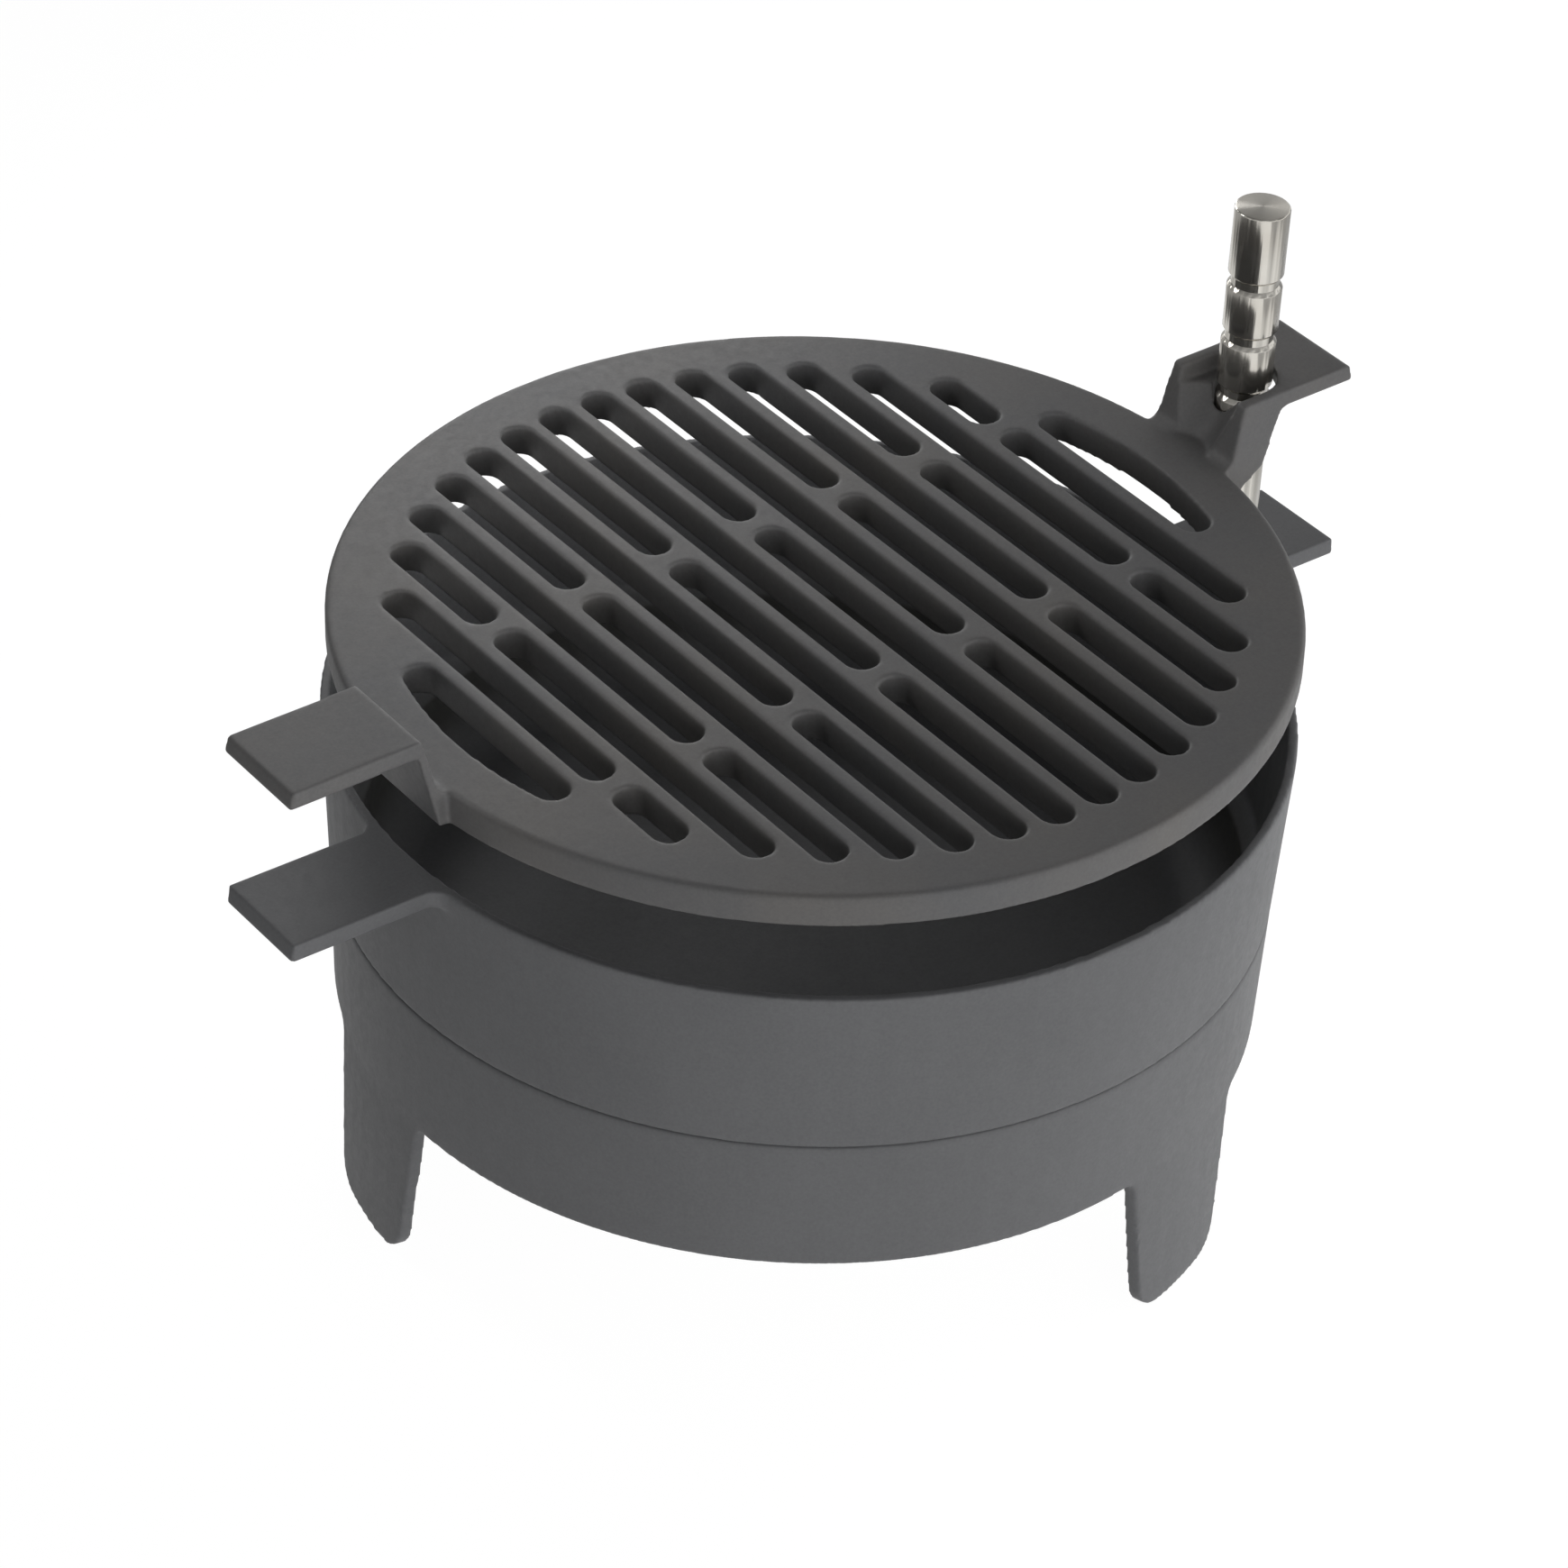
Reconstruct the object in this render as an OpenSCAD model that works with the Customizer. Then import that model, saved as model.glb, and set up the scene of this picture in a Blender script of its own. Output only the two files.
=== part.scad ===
// Cast iron tabletop charcoal grill: a ring stand on three legs, a fire bowl
// with two tab handles, and a slotted cooking grate that rides up and down on
// a grooved steel rod. Millimetres. The origin is on the table under the
// middle of the bowl, +X points to the rod, +Z is up.

/* [Stand] */
// Height of the seam between the stand and the bowl
seam_h = 115.5; // [105:0.5:140]
// Outer radius of the stand at the seam
stand_r = 166.8; // [150:0.1:200]
// Height of the unbroken ring above the leg openings
ring_h = 52.3; // [40:0.1:70]
// Thickness of the stand's wall
stand_wall = 5; // [4:0.5:8]
// Inward draft of the ring's wall, in degrees
stand_draft = 1.75; // [0.5:0.05:3]
// Outward splay of the legs under the ring, in degrees
leg_splay = 1.9; // [0:0.1:3]
// Number of legs
leg_count = 3; // [3:1:4]
// Direction of the first leg, in degrees from the rod
leg_turn = 49.3; // [30:0.1:60]
// Width of a leg where it leaves the ring
leg_top_w = 64.5; // [50:0.1:90]
// Inward slope of a leg's side edges, in degrees
leg_taper = 7.3; // [0:0.1:14]
// Rounding of a leg's bottom corners
foot_corner_r = 12; // [4:0.5:14]
// Rounding where a leg's edge meets the ring
arch_corner_r = 5; // [2:0.5:10]
// Bevel on both edges of the seam
seam_bevel = 0.6; // [0.3:0.1:1.5]

/* [Fire bowl] */
// Height of the bowl's visible wall, from the seam to the rim
bowl_h = 64.5; // [55:0.5:85]
// Outward draft of the bowl's wall, in degrees
bowl_draft = 2.7; // [2:0.1:6]
// Width of the rim's flat top
lip_w = 3.6; // [3:0.1:6]
// Thickness of the bowl's wall just above the seam
bowl_wall = 4.6; // [4:0.1:6]
// Gap between the spigot and the stand, on the radius
spigot_gap = 0.5; // [0.3:0.1:1]
// Thickness of the spigot's wall and of the bowl's floor
floor_t = 5; // [4:0.5:8]
// Depth of the bowl's floor below the seam, on the inside
pan_depth = 24; // [24:1:45]
// Inner rounding between the floor and the spigot
floor_corner_r = 22; // [10:1:22]

/* [Handles] */
// Length of each handle, from the bowl's rim outwards
handle_len = 56.6; // [44:0.1:70]
// Width of the bowl's handles
tab_w = 40; // [34:1:50]
// Thickness of the bowl's handles
tab_t = 6.5; // [5:0.5:8]
// Rounding where a bowl handle meets the wall, seen from above
tab_root_r = 7; // [3:0.5:12]
// Rounding of the handles' outer corners
tab_corner_r = 1.5; // [0.5:0.1:4]
// Lean of the handles' end faces, which reach furthest at their foot
end_lean = 11; // [0:1:15]
// How far the rear handle lies below the rim
rear_tab_drop = 4.5; // [1:0.5:20]

/* [Cooking grate] */
// How far the grate's edge lies inside the bowl's rim
grate_inset = 1.8; // [1:0.1:8]
// Thickness of the cooking grate
grate_t = 12; // [9:0.5:15]
// Height of the middle of the grate's underside above the rim, as drawn
grate_lift = 30.5; // [24:0.5:34]
// Sag of the grate towards its front handle, in degrees
grate_sag = 1.2; // [0:0.1:1.2]
// Rounding of the grate's rim
grate_edge_r = 1.6; // [0.8:0.1:3]
// Number of slot rows
slot_rows = 14; // [8:2:14]
// Width of a slot
slot_w = 12.5; // [8:0.1:13.5]
// Distance from the grate's edge to the centres of the slots' ends
slot_margin = 25.8; // [18:0.1:32]
// Length of a bridge between two slots
bridge_len = 7.6; // [5:0.1:14]
// Greatest width of the two D-shaped end slots
end_slot_w = 17.7; // [16:0.1:19]

/* [Grate handles] */
// Width of the grate's handles at their top
grip_w = 39; // [35:0.5:46]
// Thickness of the handles' plates
grip_t = 6.3; // [4:0.1:8]
// Height of the plates' top above the grate
grip_rise = 23; // [20:0.5:30]
// Lean of the handles' walls, in degrees
grip_lean = 13; // [8:0.5:16]
// Thickness of the front handle's wall, along X
grip_wall = 3.4; // [3:0.1:6]
// Gap from the grate's rim to the foot of the handles' walls
grip_foot_gap = 1.3; // [0.6:0.1:2.5]
// Rounding between the handles' walls and the grate
grip_root_r = 5.5; // [3:0.5:8]
// Sideways draft of the handles' walls, in degrees
grip_draft = 4; // [1:0.5:6]

/* [Rod and bracket] */
// Radius of the rod
rod_r = 10; // [9:0.5:11]
// Distance from the grate's edge to the rod's axis
rod_offset = 23; // [22:0.1:26]
// Height of the rod's top above the middle of the grate
rod_above = 94.2; // [80:0.1:120]
// Number of grooves in the rod
groove_count = 3; // [1:1:4]
// Distance from one groove to the next
groove_pitch = 22.5; // [18:0.1:26]
// Distance from the rod's top to the middle of the first groove
groove_first = 29; // [20:0.5:40]
// Width of a groove at the rod's surface
groove_w = 5.6; // [3:0.1:6]
// Depth of a groove
groove_depth = 1.3; // [0.6:0.1:2]
// Bevel at the rod's top
rod_bevel = 0.8; // [0.3:0.1:2]
// Gap between the rod and the bracket's bore, on the radius
rod_gap = 0.7; // [0.7:0.05:1]
// Half of the width of the slot in the bracket's plate
channel_r = 14.7; // [13:0.1:15.5]
// Step between the plate's slot and the narrower trough under it
channel_step = 0.5; // [0.4:0.1:1]
// Thickness of the bracket's block at the grate's top, along X
block_t = 16.5; // [14:0.5:20]
// Lean of the block's outer face, in degrees
block_lean = 21; // [15:0.5:24]
// Rounding between the block and the plate above it
block_root_r = 5; // [2:0.5:8]

/* [Fixing screw] */
// Radius of the fixing screw's shank
screw_r = 4; // [3:0.5:5]
// Gap round the screw's shank, on the radius
screw_gap = 0.25; // [0.15:0.05:0.5]
// Length of the screw's thread inside the rod
screw_grip = 14; // [8:1:20]
// Radius of the screw's head
screw_head_r = 7; // [6:0.5:9]
// Height of the screw's head
screw_head_h = 5; // [4:0.5:8]
// Width of the hexagon socket, across its flats
socket_w = 5; // [4:0.5:6]
// Depth of the hexagon socket
socket_depth = 3; // [2:0.5:3.5]
// Radius of the washer
washer_r = 11; // [9.5:0.5:13]
// Thickness of the washer
washer_t = 1.6; // [1:0.1:3]

/* [Hidden] */
$fn = 96;
round_fn = 180;
eps = 0.01;
past = 5;
crossing = 0.03;

iron = "#4b4b4d";
steel = "#b9b7b2";

// levels
arch_z = seam_h - ring_h;
rim_z = seam_h + bowl_h;
grate_z = rim_z + grate_lift;
grate_top = grate_z + grate_t;
plate_top = grate_top + grip_rise;
plate_low = plate_top - grip_t;
rod_top = grate_top + rod_above;
rear_tab_top = rim_z - rear_tab_drop;
rear_tab_low = rear_tab_top - tab_t;
throat_z = seam_h + 1;
floor_z = seam_h - pan_depth;

// radii
stand_top_in = stand_r - stand_wall;
ring_low_r = stand_r - ring_h * tan(stand_draft);
foot_r = ring_low_r + arch_z * tan(leg_splay);
rim_r = stand_r + bowl_h * tan(bowl_draft);
cavity_top_r = rim_r - lip_w;
spigot_r = stand_top_in - spigot_gap;
pan_r = spigot_r - floor_t;
grate_r = rim_r - grate_inset;
handle_reach = rim_r + handle_len;
rod_x = grate_r + rod_offset;
grip_reach = handle_reach - grip_rise * tan(grate_sag);

// slots: the rows and the end slots share one pitch
slot_end_circle = grate_r - slot_margin;
slot_pitch = 2 * (slot_end_circle + slot_w - end_slot_w) / (slot_rows + 1);
end_slot_x = slot_end_circle + slot_w / 2 - end_slot_w;
bridge_y = slot_end_circle / 3;
cavity_low_z = seam_h + 8;
cavity_low_r = stand_r + 8 * tan(bowl_draft) - bowl_wall;

// handles of the grate: the wall's inner face at the grate's top and the
// plate's top
grip_root_x = grate_r + grip_foot_gap;
grip_top_x = grip_root_x + grip_rise * tan(grip_lean);

// trough of the bracket: its back starts at the grate's top and reaches the
// rod's near side half-way up; the bore is centred on the upright rod at half
// of its height in the sagging grate
hang_x = rod_x / cos(grate_sag) + (grip_rise - grate_t) / 2 * tan(grate_sag);
bore_r = rod_r + rod_gap;
rod_far_x = hang_x + bore_r;
trough_r = channel_r - channel_step;
channel_foot_x = grip_root_x + 3;
channel_meet = grip_rise / 2;
trough_slope = atan((hang_x - rod_r - channel_foot_x) / channel_meet);

module corner_bit(r) {
    // what a rounding of radius r takes off a corner at the origin
    difference() {
        translate([-eps, -eps]) square(r + eps);
        translate([r, r]) circle(r);
    }
}

module radial_extrude(turn, near, far) {
    // a section drawn as (sideways, height), run out from the axis
    rotate([0, 0, turn])
        translate([near, 0, 0])
            rotate([90, 0, 90])
                linear_extrude(far - near) children();
}

module side_extrude(width) {
    // a section drawn as (X, height), run across Y about the middle
    rotate([90, 0, 0])
        translate([0, 0, -width / 2])
            linear_extrude(width) children();
}

// stand

module stand_section() {
    polygon([
        [foot_r - stand_wall, 0],
        [foot_r, 0],
        [ring_low_r, arch_z],
        [stand_r - seam_bevel * tan(stand_draft), seam_h - seam_bevel],
        [stand_r - seam_bevel, seam_h],
        [stand_top_in, seam_h],
        [ring_low_r - stand_wall, arch_z]
    ]);
}

function arc(x, y, r, from, to, steps = 9) =
    [for (i = [0 : steps])
        let (a = from + (to - from) * i / steps)
        [x + r * cos(a), y + r * sin(a)]];

module leg_outline() {
    // a leg seen along its radius, run on past the ring's edge and the floor
    lean = (1 - sin(leg_taper)) / cos(leg_taper);
    half = leg_top_w / 2;
    foot_x = half - arch_z * tan(leg_taper) - foot_corner_r * lean;
    arch_x = half + arch_corner_r * lean;
    edge = concat(
        [[foot_x, -past]],
        arc(foot_x, foot_corner_r - crossing, foot_corner_r,
            -90, -leg_taper),
        arc(arch_x, arch_z - arch_corner_r + crossing, arch_corner_r,
            180 - leg_taper, 90),
        [[arch_x, arch_z + past]]
    );
    other = [for (i = [len(edge) - 1 : -1 : 0]) [-edge[i][0], edge[i][1]]];
    polygon(concat(edge, other));
}

module between_legs() {
    // all that lies under the ring, apart from the legs
    difference() {
        translate([0, 0, -past + eps])
            cylinder(h = arch_z + past - eps, r = stand_r + past);
        for (i = [0 : leg_count - 1])
            radial_extrude(leg_turn + i * 360 / leg_count,
                           stand_r / 2, stand_r + 2 * past)
                leg_outline();
    }
}

module stand() {
    color(iron)
        difference() {
            rotate_extrude($fn = round_fn) stand_section();
            between_legs();
        }
}

// fire bowl

module dish_section(r, low, high, corner_r) {
    translate([0, low])
        difference() {
            square([r, high - low]);
            translate([r, 0]) mirror([1, 0]) corner_bit(corner_r);
        }
}

module bowl_outer_section() {
    polygon([
        [0, seam_h],
        [stand_r - seam_bevel, seam_h],
        [stand_r + seam_bevel * tan(bowl_draft), seam_h + seam_bevel],
        [rim_r, rim_z],
        [0, rim_z]
    ]);
    dish_section(spigot_r, floor_z - floor_t, seam_h + eps,
                 floor_corner_r + floor_t);
}

module bowl_cavity_section() {
    polygon([
        [0, throat_z],
        [pan_r, throat_z],
        [cavity_low_r, cavity_low_z],
        [cavity_top_r, rim_z],
        [cavity_top_r, rim_z + past],
        [0, rim_z + past]
    ]);
    dish_section(pan_r, floor_z, throat_z + eps, floor_corner_r);
}

module tab_outline(wall_r) {
    // a handle seen from above, with its roots blended into the wall
    blend_y = tab_w / 2 + tab_root_r;
    blend_x = sqrt(pow(wall_r + tab_root_r, 2) - pow(blend_y, 2));
    touch = wall_r / (wall_r + tab_root_r);
    inside = wall_r - stand_wall;
    difference() {
        union() {
            translate([inside, -tab_w / 2])
                square([handle_reach - inside, tab_w]);
            for (side = [-1, 1])
                polygon([
                    [inside, 0],
                    [blend_x, 0],
                    [blend_x, side * blend_y],
                    [blend_x * touch, side * blend_y * touch],
                    [inside, side * blend_y * touch]
                ]);
        }
        for (side = [-1, 1]) {
            translate([blend_x, side * blend_y]) circle(tab_root_r);
            translate([handle_reach, side * tab_w / 2])
                mirror([1, 0])
                    scale([1, -side]) corner_bit(tab_corner_r);
        }
    }
}

module tab(wall_r, low) {
    // a handle of the bowl, with a leaning end face
    slope = tan(end_lean);
    tip = handle_reach - crossing;
    translate([0, 0, low])
        intersection() {
            linear_extrude(tab_t) tab_outline(wall_r);
            side_extrude(2 * tab_w)
                polygon([
                    [0, -past],
                    [tip + past * slope, -past],
                    [tip - (tab_t + past) * slope, tab_t + past],
                    [0, tab_t + past]
                ]);
        }
}

module fire_bowl() {
    rear_wall_r = stand_r + (rear_tab_low - seam_h) * tan(bowl_draft);
    color(iron)
        difference() {
            union() {
                rotate_extrude($fn = round_fn) bowl_outer_section();
                mirror([1, 0, 0]) tab(rim_r, rim_z - tab_t);
                tab(rear_wall_r, rear_tab_low);
            }
            rotate_extrude($fn = round_fn) bowl_cavity_section();
            translate([rod_x, 0, rear_tab_low - past])
                cylinder(h = tab_t + 2 * past, r = screw_r + screw_gap);
        }
}

// cooking grate

module slot_shape(x, y0, y1) {
    // one slot seen from above, from the end centre y0 to the end centre y1
    r = slot_w / 2;
    for (y = [y0, y1]) translate([x, y]) circle(r, $fn = 48);
    translate([x - r + crossing, y0])
        square([slot_w - 2 * crossing, y1 - y0]);
}

module slot_row(i) {
    // a row is broken by one bridge, on alternate sides of the middle
    x = (i - (slot_rows - 1) / 2) * slot_pitch;
    reach = sqrt(pow(slot_end_circle, 2) - pow(x, 2));
    bridge = (i % 2 == 0 ? -1 : 1) * bridge_y;
    gap = bridge_len / 2 + slot_w / 2;
    slot_shape(x, -reach, bridge - gap);
    slot_shape(x, bridge + gap, reach);
}

module end_slot() {
    // a slot with one straight side and one that follows the grate's rim
    r = slot_w / 2;
    end_x = end_slot_x + r;
    end_y = sqrt(pow(slot_end_circle, 2) - pow(end_x, 2));
    for (side = [-1, 1])
        translate([end_x, side * end_y]) circle(r, $fn = 48);
    translate([end_slot_x + crossing, -end_y]) square([r, 2 * end_y]);
    intersection() {
        circle(slot_end_circle + r - crossing, $fn = round_fn);
        polygon([
            [end_x - eps, -end_y],
            [2 * end_x, -2 * end_y],
            [2 * end_x, 2 * end_y],
            [end_x - eps, end_y]
        ]);
    }
}

module slots() {
    translate([0, 0, -past])
        linear_extrude(grate_t + 2 * past) {
            for (i = [0 : slot_rows - 1]) slot_row(i);
            end_slot();
            mirror([1, 0]) end_slot();
        }
}

module grate_disc() {
    rotate_extrude($fn = round_fn)
        difference() {
            square([grate_r, grate_t]);
            translate([grate_r, 0])
                mirror([1, 0]) corner_bit(grate_edge_r / 2);
            translate([grate_r, grate_t])
                mirror([1, 0])
                    mirror([0, 1]) corner_bit(grate_edge_r);
        }
}

module grip_root() {
    // rounding between a handle's inner face and the grate's top
    r = grip_root_r;
    cx = grip_root_x - r * (1 / cos(grip_lean) - tan(grip_lean));
    difference() {
        polygon([
            [cx, -eps],
            [grip_root_x + eps, -eps],
            [cx + r * cos(grip_lean) + eps, r * (1 - sin(grip_lean))],
            [cx, r]
        ]);
        translate([cx, r]) circle(r);
    }
}

module grip_plate_section() {
    edge = 0.8;
    run = grip_t * tan(end_lean);
    polygon([
        [grip_top_x - grip_t * tan(grip_lean), grip_rise - grip_t],
        [grip_reach - edge / 4, grip_rise - grip_t],
        [grip_reach, grip_rise - grip_t + edge / 4],
        [grip_reach - run, grip_rise - edge],
        [grip_reach - run - edge, grip_rise],
        [grip_top_x + edge, grip_rise],
        [grip_top_x, grip_rise - edge]
    ]);
}

module front_grip_section() {
    foot = grip_root_x - grate_t * tan(grip_lean);
    plate_in = grip_top_x - grip_t * tan(grip_lean);
    grip_plate_section();
    grip_root();
    polygon([
        [grate_r - 2 * past, -grate_t],
        [foot + grip_wall, -grate_t],
        [plate_in + grip_wall, grip_rise - grip_t],
        [plate_in + grip_wall, grip_rise - grip_t + eps],
        [plate_in, grip_rise - grip_t + eps],
        [grip_root_x, 0],
        [grate_r - 2 * past, 0]
    ]);
}

module bracket_section() {
    out_low = grip_root_x + block_t;
    slope = tan(block_lean);
    heel = grate_t / 3;
    under = grip_rise - grip_t;
    r = block_root_r;
    bend = r * tan((90 - block_lean) / 2);
    grip_plate_section();
    grip_root();
    polygon([
        [grate_r - 2 * past, -grate_t],
        [grip_root_x + heel, -grate_t],
        [grip_root_x + 1.6 * heel, -2.2 * heel],
        [out_low - 1.7 * heel * slope - heel / 2, -1.5 * heel],
        [out_low - heel * slope, -heel],
        [out_low + under * slope, under + eps],
        [grip_top_x - grip_t * tan(grip_lean), under + eps],
        [grip_root_x, 0],
        [grate_r - 2 * past, 0]
    ]);
    difference() {
        polygon([
            [out_low + (under - bend * cos(block_lean)) * slope - eps,
             under - bend * cos(block_lean)],
            [out_low + under * slope + bend, under - r],
            [out_low + under * slope + bend, under + eps],
            [out_low + under * slope - eps, under + eps]
        ]);
        translate([out_low + under * slope + bend, under - r]) circle(r);
    }
}

module drafted(width) {
    // keeps what lies between two side faces that lean in towards the top
    low = grip_rise + grate_t;
    wide = width / 2 + low * tan(grip_draft);
    intersection() {
        children();
        rotate([90, 0, 90])
            linear_extrude(2 * handle_reach)
                polygon([
                    [-wide, -grate_t],
                    [wide, -grate_t],
                    [width / 2, grip_rise],
                    [-width / 2, grip_rise]
                ]);
    }
}

module slot_outline() {
    // the slot round the rod, open towards the grate, seen from above
    slot_x = rod_far_x - channel_r;
    open_x = grate_r - past;
    translate([slot_x, 0]) circle(channel_r);
    translate([open_x, crossing - channel_r])
        square([slot_x - open_x, 2 * (channel_r - crossing)]);
}

module trough() {
    // the slot runs on downwards as a round trough that slopes to the grate
    long = 4 * grip_rise;
    intersection() {
        translate([channel_foot_x, 0, 0])
            rotate([0, trough_slope, 0])
                translate([-trough_r, 0, -long / 2])
                    cylinder(h = long, r = trough_r);
        translate([grate_r - past, -grip_w, 0])
            cube([handle_reach, 2 * grip_w, grip_rise + past]);
    }
}

module cooking_grate() {
    wide = grip_w + 4 * grate_t * tan(grip_draft) + 2 * past;
    color(iron)
        translate([0, 0, grate_top])
            rotate([0, -grate_sag, 0])
                union() {
                    translate([0, 0, -grate_t])
                        difference() {
                            grate_disc();
                            slots();
                        }
                    mirror([1, 0, 0])
                        drafted(grip_w) side_extrude(wide) front_grip_section();
                    difference() {
                        drafted(grip_w) side_extrude(wide) bracket_section();
                        translate([0, 0, grip_rise - grip_t])
                            linear_extrude(grip_t + past) slot_outline();
                        trough();
                        translate([hang_x, 0, -grate_t - past])
                            cylinder(h = grate_t + grip_rise + 2 * past,
                                     r = bore_r);
                    }
                }
}

// rod and its fixing

function groove_points(i) =
    let (z = rod_top - groove_first - i * groove_pitch)
    [
        [rod_r, z + groove_w / 2],
        [rod_r - groove_depth, z + groove_w / 4],
        [rod_r - groove_depth, z - groove_w / 4],
        [rod_r, z - groove_w / 2]
    ];

module height_rod() {
    grooves = [for (i = [0 : groove_count - 1]) each groove_points(i)];
    tap_r = screw_r + 0.05;
    tap_z = rear_tab_top + screw_grip + 2;
    color(steel)
        difference() {
            rotate_at_rod()
                polygon(concat(
                    [[0, rod_top], [rod_r - rod_bevel, rod_top],
                     [rod_r, rod_top - rod_bevel]],
                    grooves,
                    [[rod_r, rear_tab_top + rod_bevel / 2],
                     [rod_r - rod_bevel / 2, rear_tab_top],
                     [0, rear_tab_top]]
                ));
            translate([rod_x, 0, rear_tab_top - past])
                cylinder(h = tap_z - rear_tab_top + past, r = tap_r);
        }
}

module rotate_at_rod() {
    translate([rod_x, 0, 0]) rotate_extrude() children();
}

module rod_washer() {
    inner = screw_r + screw_gap;
    color(steel)
        rotate_at_rod()
            translate([inner, rear_tab_low - washer_t])
                square([washer_r - inner, washer_t]);
}

module rod_screw() {
    top = rear_tab_top + screw_grip;
    seat = rear_tab_low - washer_t;
    low = seat - screw_head_h;
    dome = screw_head_r / 4;
    color(steel)
        difference() {
            rotate_at_rod()
                polygon([
                    [0, low],
                    [screw_head_r - dome, low],
                    [screw_head_r, low + dome],
                    [screw_head_r, seat],
                    [screw_r, seat],
                    [screw_r, top - screw_r / 4],
                    [screw_r * 3 / 4, top],
                    [0, top]
                ]);
            translate([rod_x, 0, low - past])
                cylinder(h = socket_depth + past, r = socket_w / sqrt(3),
                         $fn = 6);
        }
}

stand();
fire_bowl();
cooking_grate();
height_rod();
rod_washer();
rod_screw();
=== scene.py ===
import math

import bmesh
import bpy
from mathutils import Matrix, Vector


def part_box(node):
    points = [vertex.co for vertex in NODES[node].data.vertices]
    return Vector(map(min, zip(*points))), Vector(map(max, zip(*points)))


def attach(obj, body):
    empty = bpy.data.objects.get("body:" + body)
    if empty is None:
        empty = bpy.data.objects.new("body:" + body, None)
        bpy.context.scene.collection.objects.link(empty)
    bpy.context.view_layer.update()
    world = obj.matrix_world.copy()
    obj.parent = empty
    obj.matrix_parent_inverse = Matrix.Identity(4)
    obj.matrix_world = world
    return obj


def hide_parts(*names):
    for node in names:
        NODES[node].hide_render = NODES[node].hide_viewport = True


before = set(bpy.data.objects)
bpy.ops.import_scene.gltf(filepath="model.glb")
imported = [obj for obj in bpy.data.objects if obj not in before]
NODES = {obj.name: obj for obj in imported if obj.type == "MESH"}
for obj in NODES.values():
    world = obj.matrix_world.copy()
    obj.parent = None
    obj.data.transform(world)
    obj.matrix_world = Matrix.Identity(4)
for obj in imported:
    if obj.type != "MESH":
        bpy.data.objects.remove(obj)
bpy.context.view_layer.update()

# Lengths are in metres, angles in degrees and lamp powers in watts. Colours
# are linear red, green and blue. A ramp is a list of (place, value) stops,
# and a span maps one (low, high) range to another.

# Camera, solved on the photograph
CAMERA_PLACE = (-0.99141, -1.22613, 1.29083)
CAMERA_TURN = -38.688
CAMERA_TILT = 36.071
CAMERA_ROLL = 3.129
CAMERA_LENS = 127.4495
SENSOR_WIDTH = 36.0
CLIP_END = 50.0

# Soft boxes behind the grill and on its left: name, place, size, power
LAMPS = (("back_lamp", (0.26, 0.61, 0.48), 0.4, 1.1),
         ("left_lamp", (-0.24, 0.32, 0.56), 0.16, 0.42))
LAMP_TARGET = (0.0, 0.0, 0.2)

# Height rod: a steel bar with turned grooves, counted from its top
ROD_RADIUS = 0.010
ROD_BEVEL = 0.0008
ROD_SEGMENTS = 128
GROOVE_FIRST = 0.029
GROOVE_PITCH = 0.0225
GROOVE_COUNT = 3
GROOVE_WIDTH = 0.0056
GROOVE_DEPTH = 0.0013
GROOVE_LIP = 0.0002
SHARP_ANGLE = 35

# Enamelled cast iron
GREY = (0.125, 0.127, 0.132)
PALE_GREY = (0.135, 0.137, 0.142)
GRATE_GREY = (0.114, 0.115, 0.119)
GRATE_WORN = (0.129, 0.123, 0.117)
CAST_ROUGH = 0.56
GRATE_ROUGH = 0.54
ROUGH_SPREAD = 0.05
ENAMEL_IOR = 1.5
CLOUD_SHADE = 0.93
FLECK_RAMP = [(0.30, 0.92), (0.70, 1.06)]
GRAIN_HEIGHT = 0.5
# Painted shade: a dark colour on the bowl's inner walls and the grate's slot
# walls
PAINTED_SHADE_COLOUR = (0.045, 0.044, 0.038, 1.0)
PAINTED_SHADE_BLUR = 0.001
UPRIGHT_FACES = ((0.35, 0.85), (1.0, 0.0))
# Painted shade on upright faces: inside this radius, above this height, this
# much
BOWL_PAINTED_SHADE = (0.160, 0.09, 0.75)
GRATE_PAINTED_SHADE = (0.155, 0.0, 0.10)

# Polished stainless steel
STEEL_RAMP = [(0.3, (0.62, 0.59, 0.535)), (0.7, (0.70, 0.68, 0.63))]
STEEL_ROUGH = ((0.3, 0.7), (0.13, 0.17))
END_ROUGH = 0.20
END_FACES = ((0.75, 0.95), (0.0, 1.0))
DRAWN_SCALE = (1.0, 1.0, 0.01)
LINE_HEIGHT = 0.04
END_HEIGHT = 0.01

# Directions over the floor
RIGHT = (0.79, -0.62, 0.0)
BRIGHT_SIDE = (0.62, -0.79, 0.0)
BEHIND_ROD = (0.985, -0.17, 0.0)

# Floor; its matt colour darkens to the left as painted shade
FLOOR_RADIUS = 6.0
FLOOR_SEGMENTS = 96
FLOOR_PAINTED_SHADE_RAMP = [(0.0, 0.30), (0.5, 0.60), (1.0, 0.90)]
FLOOR_PAINTED_SHADE_SPAN = ((-0.5, 0.5), (0.0, 1.0))
GLOW_BEHIND_ROD = ((0.28, 0.66), (1.13, 0.42))
GLOW_LEFT = ((-0.5, 0.0), (0.50, 1.13))
GLOW_SEEN = 1.16
GLOW_SHARE = 0.84

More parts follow.
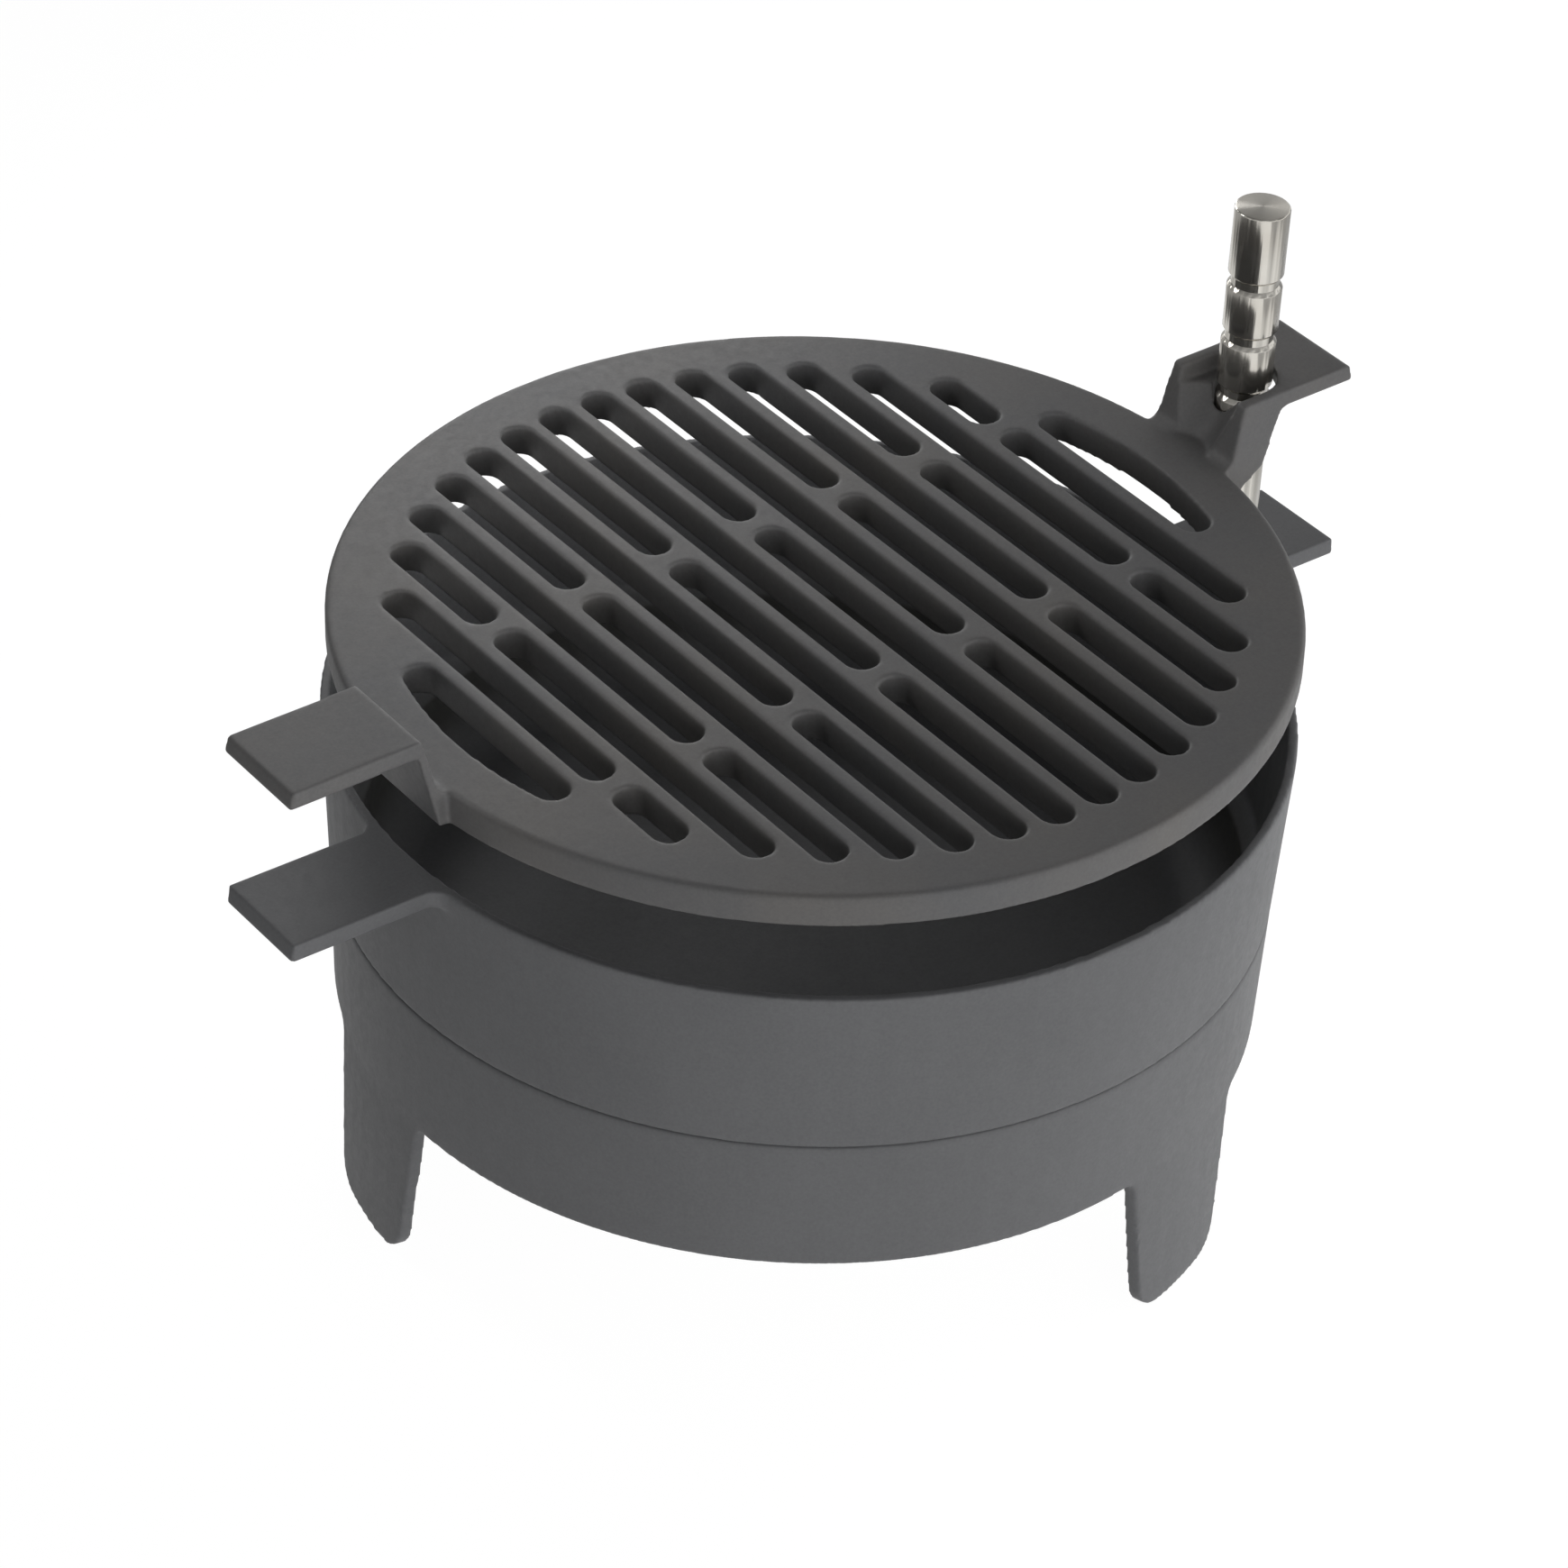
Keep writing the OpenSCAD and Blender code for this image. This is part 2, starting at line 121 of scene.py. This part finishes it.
# World: how strong its light is by height and from side to side, and the
# same for the white that metal mirrors
WORLD_LEVEL = 5.9
WORLD_HEIGHT = [(0.0, 1.05), (0.2, 0.90), (0.40, 0.15), (0.70, 0.05),
                (1.0, 0.04)]
WORLD_SIDE = [(0.0, 0.02), (0.25, 0.08), (0.45, 0.30), (0.75, 0.84),
              (1.0, 0.84)]
WORLD_SIDE_SPAN = ((-1.0, 1.0), (0.0, 1.0))
MIRRORED_HEIGHT = [(0.0, 1.0), (0.25, 0.9), (0.57, 0.42), (1.0, 0.20)]
MIRRORED_SIDE = ((-0.8, 0.2), (0.4, 1.0))


def make_camera():
    """The photograph's camera, from its place, turn, tilt and roll."""
    turn = math.radians(CAMERA_TURN)
    tilt = math.radians(CAMERA_TILT)
    roll = math.radians(CAMERA_ROLL)
    back = Vector((math.sin(turn) * math.cos(tilt),
                   -math.cos(turn) * math.cos(tilt),
                   math.sin(tilt)))
    right = Vector((math.cos(turn), math.sin(turn), 0.0))
    up = back.cross(right)
    side = math.cos(roll) * right + math.sin(roll) * up
    top = math.cos(roll) * up - math.sin(roll) * right
    turned = Matrix((side, top, back)).transposed().to_4x4()
    data = bpy.data.cameras.new("camera")
    data.lens = CAMERA_LENS
    data.sensor_width = SENSOR_WIDTH
    data.clip_end = CLIP_END
    camera = bpy.data.objects.new("camera", data)
    camera.matrix_world = Matrix.Translation(CAMERA_PLACE) @ turned
    bpy.context.scene.collection.objects.link(camera)
    bpy.context.scene.camera = camera


class Nodes:
    """Short names for the nodes of one tree."""

    def __init__(self, owner):
        owner.use_nodes = True
        self.tree = owner.node_tree
        self.tree.nodes.clear()

    def add(self, kind, values=None, **settings):
        node = self.tree.nodes.new("ShaderNode" + kind)
        for key, value in settings.items():
            setattr(node, key, value)
        for key, value in (values or {}).items():
            node.inputs[key].default_value = value
        return node

    def link(self, source, target):
        self.tree.links.new(source, target)

    def noise(self, place, scale, detail, rough):
        node = self.add("TexNoise", {"Scale": scale, "Detail": detail,
                                     "Roughness": rough})
        self.link(place, node.inputs["Vector"])
        return node.outputs["Fac"]

    def ramp(self, source, stops):
        node = self.add("ValToRGB")
        while len(node.color_ramp.elements) < len(stops):
            node.color_ramp.elements.new(0.5)
        for element, (place, value) in zip(node.color_ramp.elements, stops):
            if not isinstance(value, tuple):
                value = (value, value, value)
            element.position = place
            element.color = (*value, 1.0)
        self.link(source, node.inputs["Fac"])
        return node.outputs["Color"]

    def span(self, source, taken, given):
        node = self.add("MapRange", {"From Min": taken[0],
                                     "From Max": taken[1],
                                     "To Min": given[0],
                                     "To Max": given[1]})
        self.link(source, node.inputs["Value"])
        return node.outputs["Result"]

    def along(self, place, way):
        node = self.add("VectorMath", {1: way}, operation="DOT_PRODUCT")
        self.link(place, node.inputs[0])
        return node.outputs["Value"]

    def parts(self, vector):
        node = self.add("SeparateXYZ")
        self.link(vector, node.inputs["Vector"])
        return node.outputs

    def math(self, operation, first, second):
        node = self.add("Math", operation=operation)
        for socket, value in zip(node.inputs, (first, second)):
            if isinstance(value, (int, float)):
                socket.default_value = value
            else:
                self.link(value, socket)
        return node.outputs["Value"]

    def product(self, *values):
        result = values[0]
        for value in values[1:]:
            result = self.math("MULTIPLY", result, value)
        return result

    def mix(self, factor, first, second, blend="MIX"):
        """Blend two colours, each a socket or a fixed colour."""
        node = self.add("Mix", data_type="RGBA", blend_type=blend)
        named = [socket for socket in node.inputs if socket.type == "RGBA"]
        for socket, value in zip((node.inputs["Factor"], *named),
                                 (factor, first, second)):
            if isinstance(value, (float, tuple)):
                socket.default_value = value
            else:
                self.link(value, socket)
        return [out for out in node.outputs if out.type == "RGBA"][0]

    def bump(self, shader, height, strength, distance):
        node = self.add("Bump", {"Strength": strength, "Distance": distance})
        self.link(height, node.inputs["Height"])
        self.link(node.outputs["Normal"], shader.inputs["Normal"])

    def background_rays(self, path):
        """1 where the ray comes from the camera or off metal or glass."""
        mirrored = self.math("MAXIMUM", path.outputs["Is Glossy Ray"],
                             path.outputs["Is Transmission Ray"])
        return self.math("MAXIMUM", path.outputs["Is Camera Ray"], mirrored)

    def blend_shaders(self, factor, first, second):
        node = self.add("MixShader")
        self.link(factor, node.inputs["Fac"])
        self.link(first.outputs[0], node.inputs[1])
        self.link(second.outputs[0], node.inputs[2])
        return node

    def output(self, kind, shader):
        self.link(shader.outputs[0], self.add(kind).inputs["Surface"])


def painted_shade_amount(n, place, radius, height, amount):
    """How much painted shade a place gets: upright faces within a radius and
    above a height, which are inner walls that lie in shade."""
    flat = n.add("VectorMath", {1: (1.0, 1.0, 0.0)}, operation="MULTIPLY")
    n.link(place, flat.inputs[0])
    reach = n.add("VectorMath", operation="LENGTH")
    n.link(flat.outputs["Vector"], reach.inputs[0])
    normal = n.parts(n.add("NewGeometry").outputs["Normal"])
    upright = n.span(normal["Z"], *UPRIGHT_FACES)
    within = n.span(reach.outputs["Value"],
                    (radius - PAINTED_SHADE_BLUR, radius + PAINTED_SHADE_BLUR), (1.0, 0.0))
    above = n.span(n.parts(place)["Z"],
                   (height - PAINTED_SHADE_BLUR, height + PAINTED_SHADE_BLUR), (0.0, 1.0))
    return n.product(upright, within, above, amount)


def enamel(name, base, rough, worn, painted_shade=None):
    """Matt dark grey enamel on cast iron: a fine grain and faint clouds of a
    worn colour, with painted shade on upright inner faces where it says."""
    material = bpy.data.materials.new(name)
    n = Nodes(material)
    place = n.add("TexCoord").outputs["Object"]
    clouds = n.noise(place, scale=14.0, detail=4.0, rough=0.55)
    grain = n.noise(place, scale=900.0, detail=2.0, rough=0.6)
    pits = n.noise(place, scale=320.0, detail=3.0, rough=0.55)
    dark = tuple(part * CLOUD_SHADE for part in base)
    tint = n.ramp(clouds, [(0.30, dark), (0.72, worn)])
    colour = n.mix(1.0, tint, n.ramp(grain, FLECK_RAMP), "MULTIPLY")
    # Painted shade darkens the upright inner faces
    if painted_shade:
        colour = n.mix(painted_shade_amount(n, place, *painted_shade), colour, PAINTED_SHADE_COLOUR)
    shader = n.add("BsdfPrincipled", {"IOR": ENAMEL_IOR})
    n.link(colour, shader.inputs["Base Color"])
    n.link(n.span(pits, (0.3, 0.7),
                  (rough - ROUGH_SPREAD, rough + ROUGH_SPREAD)),
           shader.inputs["Roughness"])
    height = n.math("ADD", n.math("MULTIPLY", grain, GRAIN_HEIGHT), pits)
    n.bump(shader, height, strength=0.12, distance=0.0003)
    n.output("OutputMaterial", shader)
    return material


def polished_steel(name):
    """Polished stainless bar: ground round, so that reflections are drawn out
    along it, with faint draw marks, and a duller flat end."""
    material = bpy.data.materials.new(name)
    n = Nodes(material)
    place = n.add("TexCoord").outputs["Object"]
    stretch = n.add("Mapping", {"Scale": DRAWN_SCALE})
    n.link(place, stretch.inputs["Vector"])
    drawn = stretch.outputs["Vector"]
    marks = n.noise(drawn, scale=170.0, detail=2.0, rough=0.45)
    lines = n.noise(drawn, scale=900.0, detail=3.0, rough=0.6)
    smears = n.noise(place, scale=60.0, detail=3.0, rough=0.5)
    normal = n.parts(n.add("NewGeometry").outputs["Normal"])
    end = n.span(normal["Z"], *END_FACES)
    shader = n.add("BsdfPrincipled", {"Metallic": 1.0, "Anisotropic": 0.85,
                                      "Anisotropic Rotation": 0.25})
    tangent = n.add("Tangent", direction_type="RADIAL", axis="Z")
    n.link(tangent.outputs["Tangent"], shader.inputs["Tangent"])
    n.link(n.ramp(smears, STEEL_RAMP), shader.inputs["Base Color"])
    n.link(n.math("ADD", n.span(smears, *STEEL_ROUGH),
                  n.math("MULTIPLY", end, END_ROUGH)),
           shader.inputs["Roughness"])
    height = n.math("ADD", marks, n.math("MULTIPLY", lines, LINE_HEIGHT))
    height = n.math("MULTIPLY", height,
                    n.span(end, (0.0, 1.0), (1.0, END_HEIGHT)))
    n.bump(shader, height, strength=1.0, distance=0.0020)
    n.output("OutputMaterial", shader)
    return material


def white_floor():
    """Pale floor that turns white in the picture and keeps a faint shadow. Its
    matt colour darkens to the left as painted shade, so less light bounces
    onto the grill's left. What metal mirrors of it grows duller on the left
    and behind the rod."""
    material = bpy.data.materials.new("floor")
    n = Nodes(material)
    path = n.add("LightPath")
    place = n.add("TexCoord").outputs["Object"]
    # Painted shade: the matt colour darkens towards the left
    painted_shade_across = n.span(n.along(place, RIGHT), *FLOOR_PAINTED_SHADE_SPAN)
    matt = n.add("BsdfDiffuse")
    n.link(n.ramp(painted_shade_across, FLOOR_PAINTED_SHADE_RAMP), matt.inputs["Color"])
    mirrored = n.math("MINIMUM",
                      n.span(n.along(place, BEHIND_ROD), *GLOW_BEHIND_ROD),
                      n.span(n.along(place, BRIGHT_SIDE), *GLOW_LEFT))
    seen = n.math("MULTIPLY", path.outputs["Is Camera Ray"], GLOW_SEEN)
    glow = n.add("Emission", {"Color": (1.0, 1.0, 1.0, 1.0)})
    n.link(n.math("MAXIMUM", mirrored, seen), glow.inputs["Strength"])
    share = n.math("MULTIPLY", n.background_rays(path), GLOW_SHARE)
    n.output("OutputMaterial", n.blend_shaders(share, matt, glow))
    return material


def new_object(name, mesh):
    piece = bpy.data.objects.new(name, mesh)
    bpy.context.scene.collection.objects.link(piece)
    return piece


def casting(name, node, body, material, voxel, rounding):
    """A finely meshed copy of a solid with the soft edges of a casting."""
    draft = new_object(name + "_draft", NODES[node].data.copy())
    remesh = draft.modifiers.new("remesh", "REMESH")
    remesh.mode = "VOXEL"
    remesh.voxel_size = voxel
    smooth = draft.modifiers.new("smooth", "SMOOTH")
    smooth.factor = 0.5
    smooth.iterations = rounding
    bpy.context.view_layer.update()
    depsgraph = bpy.context.evaluated_depsgraph_get()
    mesh = bpy.data.meshes.new_from_object(draft.evaluated_get(depsgraph))
    bpy.data.objects.remove(draft)
    mesh.name = name
    mesh.materials.clear()
    mesh.materials.append(material)
    mesh.shade_smooth()
    piece = new_object(name, mesh)
    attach(piece, body)
    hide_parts(node)


def lathe(name, profile, centre):
    """A round piece from (radius, height) points, top to bottom."""
    mesh = bpy.data.meshes.new(name)
    bm = bmesh.new()
    turns = [2 * math.pi * i / ROD_SEGMENTS for i in range(ROD_SEGMENTS)]
    rings = []
    for radius, height in profile:
        rings.append([bm.verts.new((centre[0] + radius * math.cos(turn),
                                    centre[1] + radius * math.sin(turn),
                                    height))
                      for turn in (turns if radius else turns[:1])])
    for upper, lower in zip(rings, rings[1:]):
        for i in range(ROD_SEGMENTS):
            j = (i + 1) % ROD_SEGMENTS
            corners = (upper[i % len(upper)], upper[j % len(upper)],
                       lower[j % len(lower)], lower[i % len(lower)])
            # A ring of one point makes two corners the same
            bm.faces.new(list(dict.fromkeys(corners))[::-1])
    bmesh.ops.recalc_face_normals(bm, faces=bm.faces)
    bm.to_mesh(mesh)
    bm.free()
    mesh.shade_smooth()
    mesh.set_sharp_from_angle(angle=math.radians(SHARP_ANGLE))
    return new_object(name, mesh)


def rod_profile(foot, top):
    """The rod's outline from its bevelled top, past the grooves, to its foot.
    """
    points = [(0.0, top), (ROD_RADIUS - ROD_BEVEL, top),
              (ROD_RADIUS - ROD_BEVEL * 0.4, top - ROD_BEVEL * 0.25),
              (ROD_RADIUS - ROD_BEVEL * 0.1, top - ROD_BEVEL * 0.6),
              (ROD_RADIUS, top - ROD_BEVEL)]
    half = GROOVE_WIDTH / 2
    groove = ((0.0, half + GROOVE_LIP), (GROOVE_LIP / 2, half),
              (GROOVE_DEPTH, half / 2))
    for i in range(GROOVE_COUNT):
        middle = top - GROOVE_FIRST - i * GROOVE_PITCH
        points += [(ROD_RADIUS - cut, middle + rise) for cut, rise in groove]
        points += [(ROD_RADIUS - cut, middle - rise)
                   for cut, rise in reversed(groove)]
    return points + [(ROD_RADIUS, foot), (0.0, foot)]


def build_rod(steel):
    low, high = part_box("height_rod")
    rod = lathe("rod", rod_profile(low[2], high[2]),
                ((low[0] + high[0]) / 2, 0.0))
    rod.data.materials.append(steel)
    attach(rod, "rod")
    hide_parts("height_rod")


def build_pieces():
    iron = enamel("enamelled_iron", GREY, CAST_ROUGH, PALE_GREY)
    # The bowl and grate enamels carry painted shade on their inner walls
    bowl_iron = enamel("bowl_iron", GREY, CAST_ROUGH, PALE_GREY, BOWL_PAINTED_SHADE)
    grate_iron = enamel("grate_iron", GRATE_GREY, GRATE_ROUGH, GRATE_WORN,
                        GRATE_PAINTED_SHADE)
    steel = polished_steel("polished_steel")
    casting("stand_casting", "stand", "stand", iron,
            voxel=0.0009, rounding=6)
    casting("bowl_casting", "fire_bowl", "bowl", bowl_iron,
            voxel=0.0009, rounding=6)
    casting("grate_casting", "cooking_grate", "grate",
            grate_iron, voxel=0.0008, rounding=5)
    build_rod(steel)
    for node in ("rod_washer", "rod_screw"):
        for slot in NODES[node].material_slots:
            slot.material = steel


def build_floor():
    bm = bmesh.new()
    bmesh.ops.create_circle(bm, cap_ends=True, radius=FLOOR_RADIUS,
                            segments=FLOOR_SEGMENTS)
    mesh = bpy.data.meshes.new("floor")
    bm.to_mesh(mesh)
    bm.free()
    floor = new_object("floor", mesh)
    floor.data.materials.append(white_floor())


def build_world():
    """A soft tent: bright low down, dim overhead, brighter to the right. The
    camera sees plain white, and metal a white that is duller overhead and on
    the left."""
    world = bpy.data.worlds.new("world")
    bpy.context.scene.world = world
    n = Nodes(world)
    path = n.add("LightPath")
    way = n.add("TexCoord").outputs["Generated"]
    height = n.parts(way)["Z"]
    side = n.along(way, BRIGHT_SIDE)
    level = n.product(n.ramp(height, WORLD_HEIGHT),
                      n.ramp(n.span(side, *WORLD_SIDE_SPAN), WORLD_SIDE),
                      WORLD_LEVEL)
    lit = n.add("Background")
    n.link(level, lit.inputs["Strength"])
    mirrored = n.product(n.ramp(height, MIRRORED_HEIGHT),
                         n.span(side, *MIRRORED_SIDE))
    white = n.add("Background", {"Color": (1.0, 1.0, 1.0, 1.0)})
    n.link(n.math("MAXIMUM", mirrored, path.outputs["Is Camera Ray"]),
           white.inputs["Strength"])
    n.output("OutputWorld",
             n.blend_shaders(n.background_rays(path), lit, white))


def build_lamp(name, place, size, power):
    """A round soft box that faces the grill."""
    data = bpy.data.lights.new(name, "AREA")
    data.shape = "DISK"
    data.size = size
    data.energy = power
    lamp = bpy.data.objects.new(name, data)
    lamp.location = place
    aim = Vector(LAMP_TARGET) - lamp.location
    lamp.rotation_euler = aim.to_track_quat("-Z", "Y").to_euler()
    bpy.context.scene.collection.objects.link(lamp)


make_camera()
build_pieces()
build_floor()
build_world()
for lamp in LAMPS:
    build_lamp(*lamp)
bpy.context.scene.view_settings.view_transform = "Standard"
